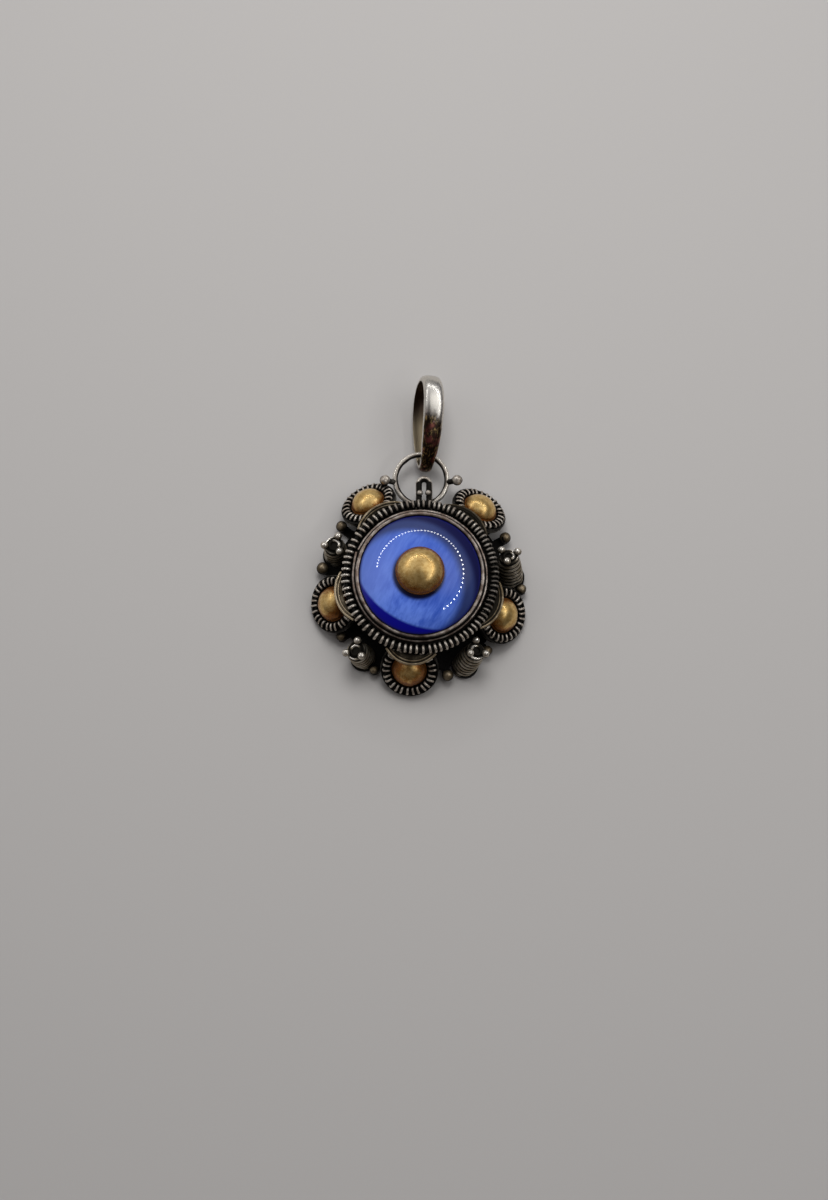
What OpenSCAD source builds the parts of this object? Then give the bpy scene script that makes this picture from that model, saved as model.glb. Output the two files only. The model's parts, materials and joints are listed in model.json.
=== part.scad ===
// Silver pendant with a round blue stone, brass domes, wound wire rings and a swinging bail.
// Millimetres. It lies face up: +Z is the face, +Y points to the bail, and the origin is the
// middle of the back plate's flat underside.

/* [Base plate] */
// Radius of the flat plate under the drum
plate_r = 9.2; // [8.8:0.1:9.3]
// Thickness of the plate
plate_t = 0.5; // [0.4:0.05:0.6]
// Outer radius of the drum wall
wall_r = 6.25; // [6:0.05:6.3]
// Thickness of the drum wall
wall_t = 0.45; // [0.35:0.05:0.6]

/* [Stone] */
// Radius of the stone at its girdle
stone_r = 6.5; // [6.4:0.05:6.5]
// Radius of the part that shows inside the lip
stone_face_r = 6.33; // [6.2:0.01:6.33]
// Height of the stone's crown above the floor
stone_top = 7.95; // [7.6:0.05:8.2]
// Radius of the brass dome in the middle
boss_r = 2.55; // [2.3:0.05:2.8]
// Height of the brass dome's top above the floor
boss_top = 9.5; // [9:0.1:9.9]

/* [Bezel] */
// Height of the cup's underside
cup_z = 4.25; // [4.2:0.05:4.3]
// Outer radius of the cup
cup_r = 7.15; // [7.1:0.01:7.16]
// Height of the rolled lip's middle
lip_z = 5.95; // [5.9:0.05:6]
// Radius of the rolled lip's wire
lip_wire_r = 0.24; // [0.2:0.01:0.25]
// Radius of the plain wire outside the lip
trim_wire_r = 0.17; // [0.14:0.01:0.18]

/* [Main coil] */
// Radius of the ring that the coil follows
main_ring_r = 7.8; // [7.78:0.01:7.85]
// Height of the coil's middle
main_z = 5.2; // [5.18:0.01:5.25]
// Outer radius of the coil itself
main_coil_r = 0.6; // [0.54:0.01:0.6]
// Diameter of the coil's wire
main_wire = 0.3; // [0.24:0.01:0.32]
// Number of turns round the ring
main_turns = 83; // [60:1:84]

/* [Petals] */
// Radius of a petal's tray
petal_r = 3.08; // [3:0.01:3.09]
// Thickness of the tray's floor
petal_t = 0.35; // [0.3:0.05:0.35]
// Radius of a petal's brass dome
petal_dome_r = 1.84; // [1.7:0.01:1.86]
// Height of a petal's brass dome above its flange
petal_dome_h = 1.15; // [1:0.05:1.2]
// Radius of the ring that a petal's coil follows
petal_ring_r = 2.42; // [2.4:0.01:2.44]
// Half the width of a petal's coil, across its ring
petal_coil_r = 0.46; // [0.42:0.01:0.47]
// Height of a petal's flattened coil, as a share of its width
petal_coil_flat = 0.62; // [0.55:0.01:0.65]
// Diameter of the petal coils' wire
petal_wire = 0.26; // [0.2:0.01:0.28]
// Number of turns in a petal's coil
petal_turns = 26; // [18:1:27]

/* [Turrets] */
// Outer radius of a turret's barrel at its foot
turret_r = 1.3; // [1.2:0.05:1.3]
// How much narrower the barrel is at its top
turret_taper = 0.24; // [0.1:0.02:0.26]
// Diameter of the wire wound into the barrel
turret_wire = 0.45; // [0.4:0.01:0.46]
// Number of turns in a barrel
turret_turns = 5; // [4:1:5]

/* [Balls] */
// Radius of the two balls on the loop
ball_r = 0.56; // [0.5:0.01:0.58]
// Radius of the small balls on the turrets
bead_r = 0.38; // [0.34:0.01:0.4]

/* [Loop and staple] */
// Radius of the loop, to the middle of its wire
loop_r = 2.77; // [2.7:0.01:2.8]
// Diameter of the loop's wire
loop_wire = 0.6; // [0.55:0.05:0.65]
// Distance of the loop's middle from the origin
loop_y = 11.3; // [11.2:0.05:11.4]
// Height of the loop's middle
loop_z = 2.0; // [1.95:0.05:2.1]
// Diameter of the staple's wire
staple_wire = 0.66; // [0.5:0.02:0.68]

/* [Bail] */
// Length of the bail
bail_length = 10.35; // [10:0.05:10.6]
// Depth of the bail across its widest part
bail_depth = 5.7; // [5.4:0.1:6]
// Width of the band at its widest
bail_width = 2.25; // [2:0.05:2.25]
// Thickness of the band in its middle
bail_t = 0.7; // [0.6:0.05:0.8]
// Lean of the bail to the right
bail_lean = 15; // [10:1:15]

/* [Hidden] */
gap = 0.03;
steps = 64;
fine = 96;

// One row for each petal: angle round the middle, distance of its middle, lean, reach of its crescent
PETAL_ANGLE = 0;
PETAL_PLACE = 1;
PETAL_LEAN = 2;
MOON_REACH = 3;
PETALS = [
    [122.8, 10.1, 41, 9],
    [51.2, 10.05, 42, 9],
    [-22.2, 9.3, 38, 9.1],
    [-96.8, 9.35, 34, 9.3],
    [194.5, 9.35, 39, 9.1]
];

// One row for each turret: place of its foot, lean, heading of the lean, turn of its three beads
FOOT_X = 0;
FOOT_Y = 1;
LEAN = 2;
HEADING = 3;
BEAD_TURN = 4;
TURRETS = [
    [-8.9, 3.35, 10, 110, 65],
    [9.7, 0.95, 31, 100, 20],
    [-5.95, -7.75, 16, 165, 75],
    [4.75, -8.5, 28, 40, 95]
];

// One row for each large ball at the plate's edge: angle round the middle, distance, radius
BALL_ANGLE = 0;
BALL_PLACE = 1;
BALL_R = 2;
BALLS = [
    [142.5, 10.55, 0.58],
    [170.2, 10.5, 0.64],
    [213.8, 10.0, 0.55],
    [242, 10.35, 0.5],
    [286.7, 10.2, 0.6],
    [314.9, 10.05, 0.55],
    [-2.4, 10.8, 0.52],
    [29.5, 10.45, 0.58]
];

NAMES_ONCE = [
    "base_plate",
    "bezel",
    "stone",
    "center_dome",
    "main_coil",
    "main_core",
    "loop",
    "staple",
    "bail"
];

// Length of a vector made 1
function unit(v) = v / norm(v);

// Radius of the ball whose cap is this wide and this high
function cap_ball_r(base_r, rise) = (base_r * base_r + rise * rise) / (2 * rise);

// Triangles that join rings of points into one closed tube
function tube_faces(rings, sides) = [
    for (i = [0:rings - 1])
        for (j = [0:sides - 1])
            for (half = [0, 1])
                let (
                    here = i * sides,
                    next = (i + 1) % rings * sides,
                    k = (j + 1) % sides
                )
                half == 0
                    ? [here + j, next + k, here + k]
                    : [here + j, next + j, next + k]
];

// Middle of the wire of a coil wound round a ring; wide and high are half the coil's own size
function coil_point(ring_r, wide, high, turns, t) =
    let (out = ring_r + wide * cos(360 * turns * t))
    [out * cos(360 * t), out * sin(360 * t), high * sin(360 * turns * t)];

// Direction from the coil's middle to its wire
function coil_side(turns, t) = [
    cos(360 * turns * t) * cos(360 * t),
    cos(360 * turns * t) * sin(360 * t),
    sin(360 * turns * t)
];

// A wire wound round a ring in the XY plane, as one closed tube
module wound_ring(ring_r, coil_r, wire, turns, flat = 1, per_turn = 6, sides = 5) {
    wide = coil_r - wire / 2;
    high = coil_r * flat - wire / 2;
    rings = turns * per_turn;
    points = [
        for (i = [0:rings - 1])
            let (
                t = i / rings,
                mid = coil_point(ring_r, wide, high, turns, t),
                along = coil_point(ring_r, wide, high, turns, (i + 0.1) / rings) - mid,
                across = unit(cross(along, coil_side(turns, t))),
                side = unit(cross(across, along))
            )
            for (j = [0:sides - 1])
                mid + wire / 2 * (cos(360 * j / sides) * side + sin(360 * j / sides) * across)
    ];
    polyhedron(points = points, faces = tube_faces(rings, sides), convexity = 10);
}

// A closed ring of round wire in the XY plane
module wire_ring(ring_r, wire_r) {
    rotate_extrude($fn = fine)
        translate([ring_r, 0])
            circle(r = wire_r, $fn = 24);
}

// The cap of a ball on a short round foot, its underside at z = 0
module cap(base_r, foot, rise) {
    ball = cap_ball_r(base_r, rise);
    intersection() {
        cylinder(r = base_r, h = foot + rise + 1, $fn = fine);
        translate([0, 0, foot + rise - ball])
            sphere(r = ball, $fn = 160);
    }
    cylinder(r = base_r, h = foot, $fn = fine);
}

// Places its children in a petal's own frame, +X outwards along its tray and +Z out of its tray;
// the tray's low edge stays just above the floor
petal_lift = 0.07;
module on_petal(k) {
    lean = PETALS[k][PETAL_LEAN];
    height = petal_lift + petal_r * sin(lean) + petal_t * cos(lean);
    rotate([0, 0, PETALS[k][PETAL_ANGLE]])
        translate([PETALS[k][PETAL_PLACE], 0, height])
            rotate([0, lean, 0])
                children();
}

// Outline of the plate: a disc with lobes under the petals, the turrets, the balls and the loop
lobe_r = 2.2;
lobe_inset = 0.75;
turret_seat_r = turret_r + 0.15;
spoke_w = 0.9;
lug_w = 4;
lug_inset = 0.2;
lug_end = 9.3;
module plate_outline() {
    circle(r = plate_r, $fn = fine);
    for (petal = PETALS)
        rotate(petal[PETAL_ANGLE])
            translate([petal[PETAL_PLACE] - lobe_inset, 0])
                circle(r = lobe_r, $fn = steps);
    for (turret = TURRETS)
        translate([turret[FOOT_X], turret[FOOT_Y]])
            circle(r = turret_seat_r, $fn = steps);
    for (ball = BALLS)
        rotate(ball[BALL_ANGLE]) {
            translate([wall_r, -spoke_w / 2])
                square([ball[BALL_PLACE] - wall_r, spoke_w]);
            translate([ball[BALL_PLACE], 0])
                circle(r = spoke_w / 2, $fn = steps);
        }
    translate([-lug_w / 2, 0])
        square([lug_w, lug_end]);
}

// The plate, the drum wall, the lug under the loop and the balls at the edge, soldered into one
ball_sink = 0.08;
module base_plate() {
    color([0.62, 0.6, 0.56]) {
        linear_extrude(plate_t)
            plate_outline();
        difference() {
            cylinder(r = wall_r, h = cup_z - gap, $fn = fine);
            translate([0, 0, plate_t])
                cylinder(r = wall_r - wall_t, h = cup_z, $fn = fine);
        }
        lug_top = loop_z - loop_wire / 2 - gap;
        lug_from = wall_r - wall_t / 2;
        translate([lug_inset - lug_w / 2, lug_from, plate_t / 2])
            cube([lug_w - 2 * lug_inset, lug_end - lug_inset - lug_from, lug_top - plate_t / 2]);
        for (ball = BALLS)
            rotate(ball[BALL_ANGLE])
                translate([ball[BALL_PLACE], 0, plate_t + ball[BALL_R] - ball_sink])
                    sphere(r = ball[BALL_R], $fn = steps);
    }
}

// Profile of the cup: floor, wall with a stepped foot, rolled lip and the plain wire outside it
cup_floor = 0.2;
cup_foot_r = 6.95;
cup_step_z = 4.6;
cup_neck_z = 5.4;
cup_hole_r = 5.2;
trim_sink = 0.05;
module bezel() {
    lip_r = stone_face_r + gap + lip_wire_r;
    neck_r = lip_r + lip_wire_r;
    color([0.62, 0.6, 0.56])
        rotate_extrude($fn = fine) {
            translate([cup_hole_r, cup_z])
                square([cup_foot_r - cup_hole_r, cup_floor]);
            translate([stone_r + gap, cup_z])
                square([cup_foot_r - stone_r - gap, cup_step_z - cup_z]);
            translate([stone_r + gap, cup_step_z])
                square([cup_r - stone_r - gap, cup_neck_z - cup_step_z]);
            translate([stone_r + gap, cup_neck_z])
                square([neck_r - stone_r - gap, lip_z - cup_neck_z]);
            translate([lip_r, lip_z])
                circle(r = lip_wire_r, $fn = 32);
            translate([cup_r - trim_wire_r, cup_neck_z + trim_wire_r - trim_sink])
                circle(r = trim_wire_r, $fn = 32);
        }
}

// The cabochon: a girdle that sits in the cup and a domed face inside the lip
stone_shoulder = 0.03;
stone_rise = 1.9;
module stone() {
    girdle_top = lip_z - lip_wire_r - stone_shoulder;
    ball = cap_ball_r(stone_face_r, stone_rise);
    color([0.3, 0.42, 0.85]) {
        translate([0, 0, cup_z + cup_floor + gap])
            cylinder(r = stone_r, h = girdle_top - cup_z - cup_floor - gap, $fn = fine);
        intersection() {
            translate([0, 0, cup_z + cup_floor + gap])
                cylinder(r = stone_face_r, h = stone_top, $fn = fine);
            translate([0, 0, stone_top - ball])
                sphere(r = ball, $fn = 144);
        }
    }
}

// The brass boss, hollowed below to fit the stone's face
boss_flange = 0.2;
boss_ring = 0.12;
module center_dome() {
    ball = cap_ball_r(stone_face_r, stone_rise);
    edge_z = stone_top - (ball - sqrt(ball * ball - boss_r * boss_r)) + gap;
    seat_z = edge_z + boss_flange;
    color([0.72, 0.56, 0.28])
        difference() {
            union() {
                translate([0, 0, edge_z])
                    cylinder(r = boss_r, h = boss_flange, $fn = fine);
                translate([0, 0, seat_z])
                    cap(boss_r - boss_ring, 0.05, boss_top - seat_z - 0.05);
            }
            translate([0, 0, stone_top - ball])
                sphere(r = ball + gap, $fn = 144);
        }
}

module main_coil() {
    color([0.66, 0.63, 0.58])
        translate([0, 0, main_z])
            wound_ring(main_ring_r, main_coil_r, main_wire, main_turns);
}

// The ring that the main coil is wound round
module main_core() {
    color([0.3, 0.28, 0.26])
        translate([0, 0, main_z])
            wire_ring(main_ring_r, (main_coil_r - main_wire) * cos(30) - gap);
}

// A petal's tray: floor, rim wire and a low step in the middle that lifts the dome
rim_r = 0.12;
step_h = 0.22;
module petal_plate(k) {
    color([0.5, 0.48, 0.45])
        on_petal(k) {
            translate([0, 0, -petal_t])
                cylinder(r = petal_r, h = petal_t, $fn = fine);
            translate([0, 0, rim_r / 2])
                wire_ring(petal_r - rim_r, rim_r);
            translate([0, 0, -petal_t])
                cylinder(r = petal_dome_r - 0.1, h = petal_t + step_h, $fn = fine);
        }
}

module petal_coil(k) {
    color([0.66, 0.63, 0.58])
        on_petal(k)
            translate([0, 0, petal_coil_r * petal_coil_flat + gap])
                wound_ring(petal_ring_r, petal_coil_r, petal_wire, petal_turns, petal_coil_flat);
}

// A brass dome with a thin flange
dome_flange = 0.12;
dome_ring = 0.08;
module petal_dome(k) {
    color([0.72, 0.56, 0.28])
        on_petal(k)
            translate([0, 0, step_h + gap]) {
                cylinder(r = petal_dome_r, h = dome_flange, $fn = fine);
                translate([0, 0, dome_flange])
                    cap(petal_dome_r - dome_ring, 0.04, petal_dome_h);
            }
}

// A half-moon plate with a wire edge, sloping from the main coil down over the petal
moon_chord = 2.5;
moon_t = 0.15;
moon_wire_r = 0.11;
moon_slope = 12;
moon_z = 4.7;
moon_tuck = 0.13;
module crescent(k) {
    reach = PETALS[k][MOON_REACH];
    outer = main_ring_r + main_coil_r;
    inner = outer - moon_tuck;
    near = sqrt(outer * outer - moon_chord * moon_chord);
    mid = (reach * reach - outer * outer) / (2 * (reach - near));
    arc_r = reach - mid;
    sweep = 0.97 * acos((inner * inner - mid * mid - arc_r * arc_r) / (2 * mid * arc_r));
    color([0.55, 0.47, 0.33])
        rotate([0, 0, PETALS[k][PETAL_ANGLE]])
            translate([inner, 0, moon_z])
                rotate([0, moon_slope, 0])
                    translate([-inner, 0, 0]) {
                        linear_extrude(moon_t, center = true)
                            difference() {
                                translate([mid, 0])
                                    circle(r = arc_r, $fn = fine);
                                circle(r = inner, $fn = 144);
                            }
                        translate([mid, 0, 0])
                            rotate([0, 0, -sweep])
                                rotate_extrude(angle = 2 * sweep, $fn = fine)
                                    translate([arc_r, 0])
                                        circle(r = moon_wire_r, $fn = 20);
                    }
}

// A barrel of wound wire on a leaning foot, with a cap, a small ring and three beads on top
barrel_pitch = 0.47;
foot_inset = 0.14;
foot_below = 1.2;
cap_t = 0.16;
cap_lap = 0.08;
crown_r = 0.52;
crown_wire_r = 0.16;
bead_place = 1.02;
bead_sink = 0.12;

// Half section of the barrel: foot, core, the turns of wire, cap and crown ring
module barrel_section(lift) {
    wire_r = turret_wire / 2;
    top = lift + turret_wire + barrel_pitch * (turret_turns - 1);
    translate([0, -foot_below])
        square([turret_r - foot_inset, lift + wire_r + foot_below]);
    core_r = turret_r - turret_wire * 0.7;
    polygon([[0, 0], [core_r, 0], [core_r - turret_taper, top], [0, top]]);
    for (turn = [0:turret_turns - 1])
        let (narrower = turret_taper * pow(turn / (turret_turns - 1), 2))
            translate([turret_r - narrower - wire_r, lift + wire_r + barrel_pitch * turn])
                circle(r = wire_r, $fn = 24);
    translate([0, top - wire_r])
        square([turret_r - turret_taper - cap_lap, wire_r + cap_t]);
    translate([crown_r, top + cap_t])
        circle(r = crown_wire_r, $fn = 20);
}

module turret(k) {
    lift = turret_r * sin(TURRETS[k][LEAN]) + 3 * gap;
    top = lift + turret_wire + barrel_pitch * (turret_turns - 1) + cap_t;
    color([0.55, 0.52, 0.48])
        intersection() {
            translate([0, 0, plate_t + gap])
                cylinder(r = 14, h = 8, $fn = fine);
            translate([TURRETS[k][FOOT_X], TURRETS[k][FOOT_Y], plate_t])
                rotate([0, 0, TURRETS[k][HEADING]])
                    rotate([0, TURRETS[k][LEAN], 0]) {
                        rotate_extrude($fn = fine)
                            barrel_section(lift);
                        for (bead = [0:2])
                            rotate([0, 0, TURRETS[k][BEAD_TURN] - TURRETS[k][HEADING] + 120 * bead])
                                translate([bead_place, 0, top + bead_r - bead_sink])
                                    sphere(r = bead_r, $fn = 40);
                    }
        }
}

// The loop: a ring of wire with a ball soldered on a short neck at each side
loop_x = 0.13;
loop_ball_y = 11.06;
loop_ball_reach = 1.08;
loop_ball_z = 2.68;
loop_neck_r = 0.22;
module loop() {
    dip = atan((loop_ball_z - loop_z) / loop_ball_reach);
    color([0.6, 0.58, 0.54]) {
        translate([loop_x, loop_y, loop_z])
            wire_ring(loop_r, loop_wire / 2);
        for (side = [-1, 1])
            translate([loop_x + side * (loop_r + loop_ball_reach), loop_ball_y, loop_ball_z]) {
                sphere(r = ball_r, $fn = steps);
                rotate([0, -side * (90 + dip), 0])
                    cylinder(r = loop_neck_r, h = loop_ball_reach / cos(dip), $fn = 32);
            }
    }
}

// The staple: two legs and an arch of wire over the loop's inner end, with a bead on each leg
staple_x = 0.44;
staple_half = 0.56;
staple_end = 11.6;
staple_bead_y = 9.6;
staple_bead_r = 0.3;
module staple() {
    wire_r = staple_wire / 2;
    arch_y = staple_end - staple_half - wire_r;
    color([0.6, 0.58, 0.54])
        translate([staple_x, 0, loop_z + loop_wire / 2 + gap + wire_r]) {
            for (side = [-1, 1])
                translate([side * staple_half, wall_r + gap, 0])
                    rotate([-90, 0, 0])
                        cylinder(r = wire_r, h = arch_y - wall_r - gap, $fn = 32);
            translate([0, arch_y, 0])
                rotate_extrude(angle = 180, $fn = steps)
                    translate([staple_half, 0])
                        circle(r = wire_r, $fn = 32);
            for (side = [-1, 1])
                translate([side * staple_half * 0.8, staple_bead_y, wire_r * 0.9])
                    sphere(r = staple_bead_r, $fn = 40);
        }
}

// Section of the bail's band: flat inside, domed outside; [across, outwards], 1 wide and 1 thick
BAND = [
    [-0.5, 0.16],
    [-0.47, 0.02],
    [0.47, 0.02],
    [0.5, 0.16],
    [0.43, 0.55],
    [0.25, 0.88],
    [0, 1],
    [-0.25, 0.88],
    [-0.43, 0.55]
];

// Opening of the bail in its own plane, egg shaped; u = 0 is the far end
bail_steps = 44;
bail_taper = 0.3;
bail_hang = 1.85;
bail_pitch = 13;
bail_slide = 0.16;
pivot_x = 0.47;
pivot_y = loop_y + sqrt(loop_r * loop_r - (pivot_x - loop_x) * (pivot_x - loop_x));
function bail_half(u) = (bail_depth / 2 - bail_t) / 1.04 * sin(u) * (1 + bail_taper * cos(u));
function bail_inner(u) = [(bail_length / 2 - bail_t) * cos(u), bail_half(u)];
function bail_band(u) = bail_width * (0.88 + 0.15 * cos(u) - 0.09 * cos(2 * u)) - 0.02;

// The band swept round its opening, its length along Y and the opening's axis along X
module bail_ring() {
    sides = len(BAND);
    points = [
        for (i = [0:bail_steps - 1])
            let (
                u = 360 * i / bail_steps,
                here = bail_inner(u),
                ahead = bail_inner(u + 1),
                along = unit(ahead - here),
                out = [along[1], -along[0]],
                wide = bail_band(u)
            )
            for (p = BAND)
                let (flat = here + out * p[1] * bail_t)
                [p[0] * wide, flat[0], flat[1]]
    ];
    polyhedron(points = points, faces = tube_faces(bail_steps, sides), convexity = 6);
}

module bail() {
    color([0.82, 0.82, 0.82])
        translate([pivot_x + bail_slide, pivot_y, loop_z])
            rotate([0, bail_lean, 0])
                rotate([bail_pitch, 0, 0])
                    translate([0, bail_length / 2 - bail_hang, 0])
                        bail_ring();
}

base_plate();
bezel();
stone();
center_dome();
main_coil();
main_core();
loop();
staple();
bail();
for (k = [1:len(PETALS)]) {
    petal_plate(k - 1);
    petal_coil(k - 1);
    petal_dome(k - 1);
    crescent(k - 1);
}
for (k = [1:len(TURRETS)]) {
    turret(k - 1);
}
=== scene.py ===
# %% [markdown]
# A silver pendant with a blue stone
#
# The real object is a small silver pendant in the old filigree manner. A drum of sheet silver
# carries a round glass stone in a rolled lip. A wire wound round a ring frames it, and behind that
# ring sit five tilted petals, each with a brass dome, and four leaning turrets of wound wire. A
# wire loop at the top holds a bright swinging bail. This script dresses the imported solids: it loads
# them as a fixed frame, and then builds a finer piece over nearly every one of them. All work is
# done in millimetres, and each finished mesh is scaled to metres.

# %% Frame, units and names
import json
import math
import random

import bmesh
import bpy
from mathutils import Matrix, Vector, noise


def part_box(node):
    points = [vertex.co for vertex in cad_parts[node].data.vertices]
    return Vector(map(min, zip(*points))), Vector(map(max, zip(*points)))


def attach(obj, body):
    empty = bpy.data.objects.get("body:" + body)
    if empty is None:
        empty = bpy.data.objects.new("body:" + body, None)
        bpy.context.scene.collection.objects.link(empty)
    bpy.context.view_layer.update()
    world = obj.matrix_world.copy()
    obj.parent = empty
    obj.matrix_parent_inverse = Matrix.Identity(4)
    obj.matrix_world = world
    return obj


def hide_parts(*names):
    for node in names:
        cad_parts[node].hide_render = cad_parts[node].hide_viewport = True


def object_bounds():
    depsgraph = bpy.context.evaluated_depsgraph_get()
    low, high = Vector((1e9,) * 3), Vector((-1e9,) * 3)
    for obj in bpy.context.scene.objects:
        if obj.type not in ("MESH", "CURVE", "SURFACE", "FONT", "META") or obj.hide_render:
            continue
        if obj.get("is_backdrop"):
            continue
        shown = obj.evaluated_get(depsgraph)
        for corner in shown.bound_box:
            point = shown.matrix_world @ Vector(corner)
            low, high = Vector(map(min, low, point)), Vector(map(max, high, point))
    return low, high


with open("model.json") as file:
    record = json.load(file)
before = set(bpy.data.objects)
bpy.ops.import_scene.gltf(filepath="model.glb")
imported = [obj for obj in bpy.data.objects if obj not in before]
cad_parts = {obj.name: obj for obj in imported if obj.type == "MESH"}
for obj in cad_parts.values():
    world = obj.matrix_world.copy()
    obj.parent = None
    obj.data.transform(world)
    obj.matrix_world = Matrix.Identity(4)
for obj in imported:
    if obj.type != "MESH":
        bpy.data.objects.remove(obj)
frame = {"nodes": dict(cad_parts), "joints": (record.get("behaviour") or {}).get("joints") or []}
cad_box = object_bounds()

MM = 0.001
FULL_TURN = 2 * math.pi
SHINE = "shine"
SHARP_FROM = 40
FIT_GAP = 0.03


def box_mm(node):
    """Lowest and highest corner of a solid at rest, in millimetres."""
    low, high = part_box(node)
    return low / MM, high / MM


def turned(axis, degrees):
    return Matrix.Rotation(math.radians(degrees), 4, axis)


def moved(x, y, z):
    return Matrix.Translation((x, y, z))


def clamped(value, low=0.0, high=1.0):
    return max(low, min(high, value))


def from_axis(co):
    """Distance of a point from the Z axis."""
    return math.hypot(co.x, co.y)


# %% [markdown]
# Small tools for round metalwork
#
# Nearly every piece is turned or is drawn wire, so three shapes do most of the work: a lathe that
# spins a chain of points about the axis, a ring of wire, which is a circle spun the same way, and a
# ball. Each vertex also carries a number called shine. It says how much rubbing reaches the place,
# and in places it also holds painted light: glints and lit tops are painted lighter, and sides that
# the studio leaves in shade are painted darker. The finishes read it: ridges stay bright, and
# recesses go black.

# %% Shapes and their shine
def blank():
    """An empty mesh that has the shine layer."""
    shape = bmesh.new()
    shape.verts.layers.float.new(SHINE)
    return shape


def set_shine(shape, rule):
    """Sets each vertex's shine from its place; rule may also be one number."""
    layer = shape.verts.layers.float[SHINE]
    for vert in shape.verts:
        vert[layer] = rule(vert.co) if callable(rule) else rule
    return shape


def painted_side_shade(shape, right, near, far=0.0):
    """Lowers the shine on the right, near and far sides of a ring: painted shade for the sides that
    the studio light leaves darker.
    """
    layer = shape.verts.layers.float[SHINE]
    for vert in shape.verts:
        way = vert.co.xy.normalized()
        vert[layer] *= 1 - max(right * way.x, -near * way.y, far * way.y, 0.0)
    return shape


def tidy(shape):
    """Merges doubles, and turns the faces outwards."""
    bmesh.ops.remove_doubles(shape, verts=shape.verts, dist=1e-5)
    bmesh.ops.recalc_face_normals(shape, faces=shape.faces)
    return shape


# %% Lathe, ring, ball
def spun(shape, steps, turns=1, pitch=0):
    """Spins a shape about Z, and closes the ring; with a pitch it makes an open helix."""
    bmesh.ops.spin(shape, geom=shape.verts[:] + shape.edges[:] + shape.faces[:], cent=(0, 0, 0),
                   axis=(0, 0, 1), dvec=(0, 0, pitch / steps), angle=FULL_TURN * turns,
                   steps=steps * turns, use_merge=not pitch, use_duplicate=False)
    return set_shine(tidy(shape), 1.0)


def lathe(points, steps=128, closed=False):
    """A chain of (radius, height) points spun about Z."""
    shape = blank()
    chain = [shape.verts.new((radius, 0, height)) for radius, height in points]
    for pair in list(zip(chain, chain[1:])) + ([(chain[-1], chain[0])] if closed else []):
        shape.edges.new(pair)
    return spun(shape, steps)


def wire_ring(radius, wire_r, steps=96, sides=16):
    """A closed ring of round wire in the XY plane."""
    shape = blank()
    bmesh.ops.create_circle(shape, segments=sides, radius=wire_r,
                            matrix=moved(radius, 0, 0) @ turned("X", 90))
    return spun(shape, steps)


def ball(radius, rings=20):
    """A ball with its poles on Z."""
    shape = blank()
    bmesh.ops.create_uvsphere(shape, u_segments=rings * 2, v_segments=rings, radius=radius)
    return set_shine(shape, 1.0)


print("a test ball has", len(ball(1.0).faces), "faces")


# %% Place, round, cut, hammer and gather
SHALLOW_BEND = 35


def placed(shape, matrix):
    bmesh.ops.transform(shape, matrix=matrix, verts=shape.verts)
    return shape


def softened(shape, offset):
    """Rounds the edges that are sharper than a shallow bend."""
    edges = [e for e in shape.edges
             if len(e.link_faces) == 2 and e.calc_face_angle() > math.radians(SHALLOW_BEND)]
    bmesh.ops.bevel(shape, geom=edges, offset=offset, segments=2, profile=0.5, affect="EDGES",
                    material=-1)
    return shape


def cut_below(shape, height):
    """Takes away all that is lower, and leaves the cut open."""
    bmesh.ops.bisect_plane(shape, geom=shape.verts[:] + shape.edges[:] + shape.faces[:],
                           plane_co=(0, 0, height), plane_no=(0, 0, 1), clear_inner=True)
    return shape


def hammered(shape, depth, size, seed=0):
    """Moves the surface in and out a little, as handwork does."""
    shape.normal_update()
    away = Vector((seed * 7.3, seed * 3.1, 0))
    for vert in shape.verts:
        vert.co += vert.normal * noise.noise(vert.co / size + away) * depth
    return shape


def as_mesh(name, shape):
    mesh = bpy.data.meshes.new(name)
    shape.to_mesh(mesh)
    shape.free()
    return mesh


def gathered(*shapes):
    """Several shapes as one."""
    whole = blank()
    for shape in shapes:
        part = as_mesh("part", shape)
        whole.from_mesh(part)
        bpy.data.meshes.remove(part)
    return whole


# %% Arc, and wire along a line
def arc(radius, start, end, steps, middle=(0, 0), height=0):
    """Points along an arc in a level plane."""
    angles = [start + (end - start) * step / steps for step in range(steps + 1)]
    return [(middle[0] + radius * math.cos(angle), middle[1] + radius * math.sin(angle), height)
            for angle in angles]


def wire_along(points, wire_r, closed=False, sides=12):
    """A round wire along a list of points, made by a bevelled curve and then taken as a mesh."""
    curve = bpy.data.curves.new("wire", "CURVE")
    curve.dimensions = "3D"
    curve.bevel_depth = wire_r
    curve.bevel_resolution = sides // 2 - 2
    curve.use_fill_caps = not closed
    spline = curve.splines.new("POLY")
    spline.points.add(len(points) - 1)
    for target, point in zip(spline.points, points):
        target.co = (*point, 1)
    spline.use_cyclic_u = closed
    holder = bpy.data.objects.new("wire", curve)
    made = bpy.data.meshes.new_from_object(holder)
    shape = blank()
    shape.from_mesh(made)
    bpy.data.objects.remove(holder)
    bpy.data.curves.remove(curve)
    bpy.data.meshes.remove(made)
    return set_shine(tidy(shape), 1.0)


# %% A finished piece
def in_scene(name, data):
    made = bpy.data.objects.new(name, data)
    bpy.context.scene.collection.objects.link(made)
    return made


def finished(name, shape, finish, slot, *nodes, body="pendant"):
    """A piece of the object: scaled to metres, given its finish, and hung on its body."""
    mesh = as_mesh(name, placed(shape, Matrix.Scale(MM, 4)))
    mesh.shade_smooth()
    mesh.set_sharp_from_angle(angle=math.radians(SHARP_FROM))
    piece = in_scene(name, mesh)
    mesh.materials.append(finish)
    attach(piece, body)
    if nodes:
        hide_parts(*nodes)
    print(name, "has", len(mesh.polygons), "faces")


def refinished(node, finish):
    """Gives a solid that stays in view its finish."""
    materials = frame["nodes"][node].data.materials
    materials.clear()
    materials.append(finish)


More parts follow.
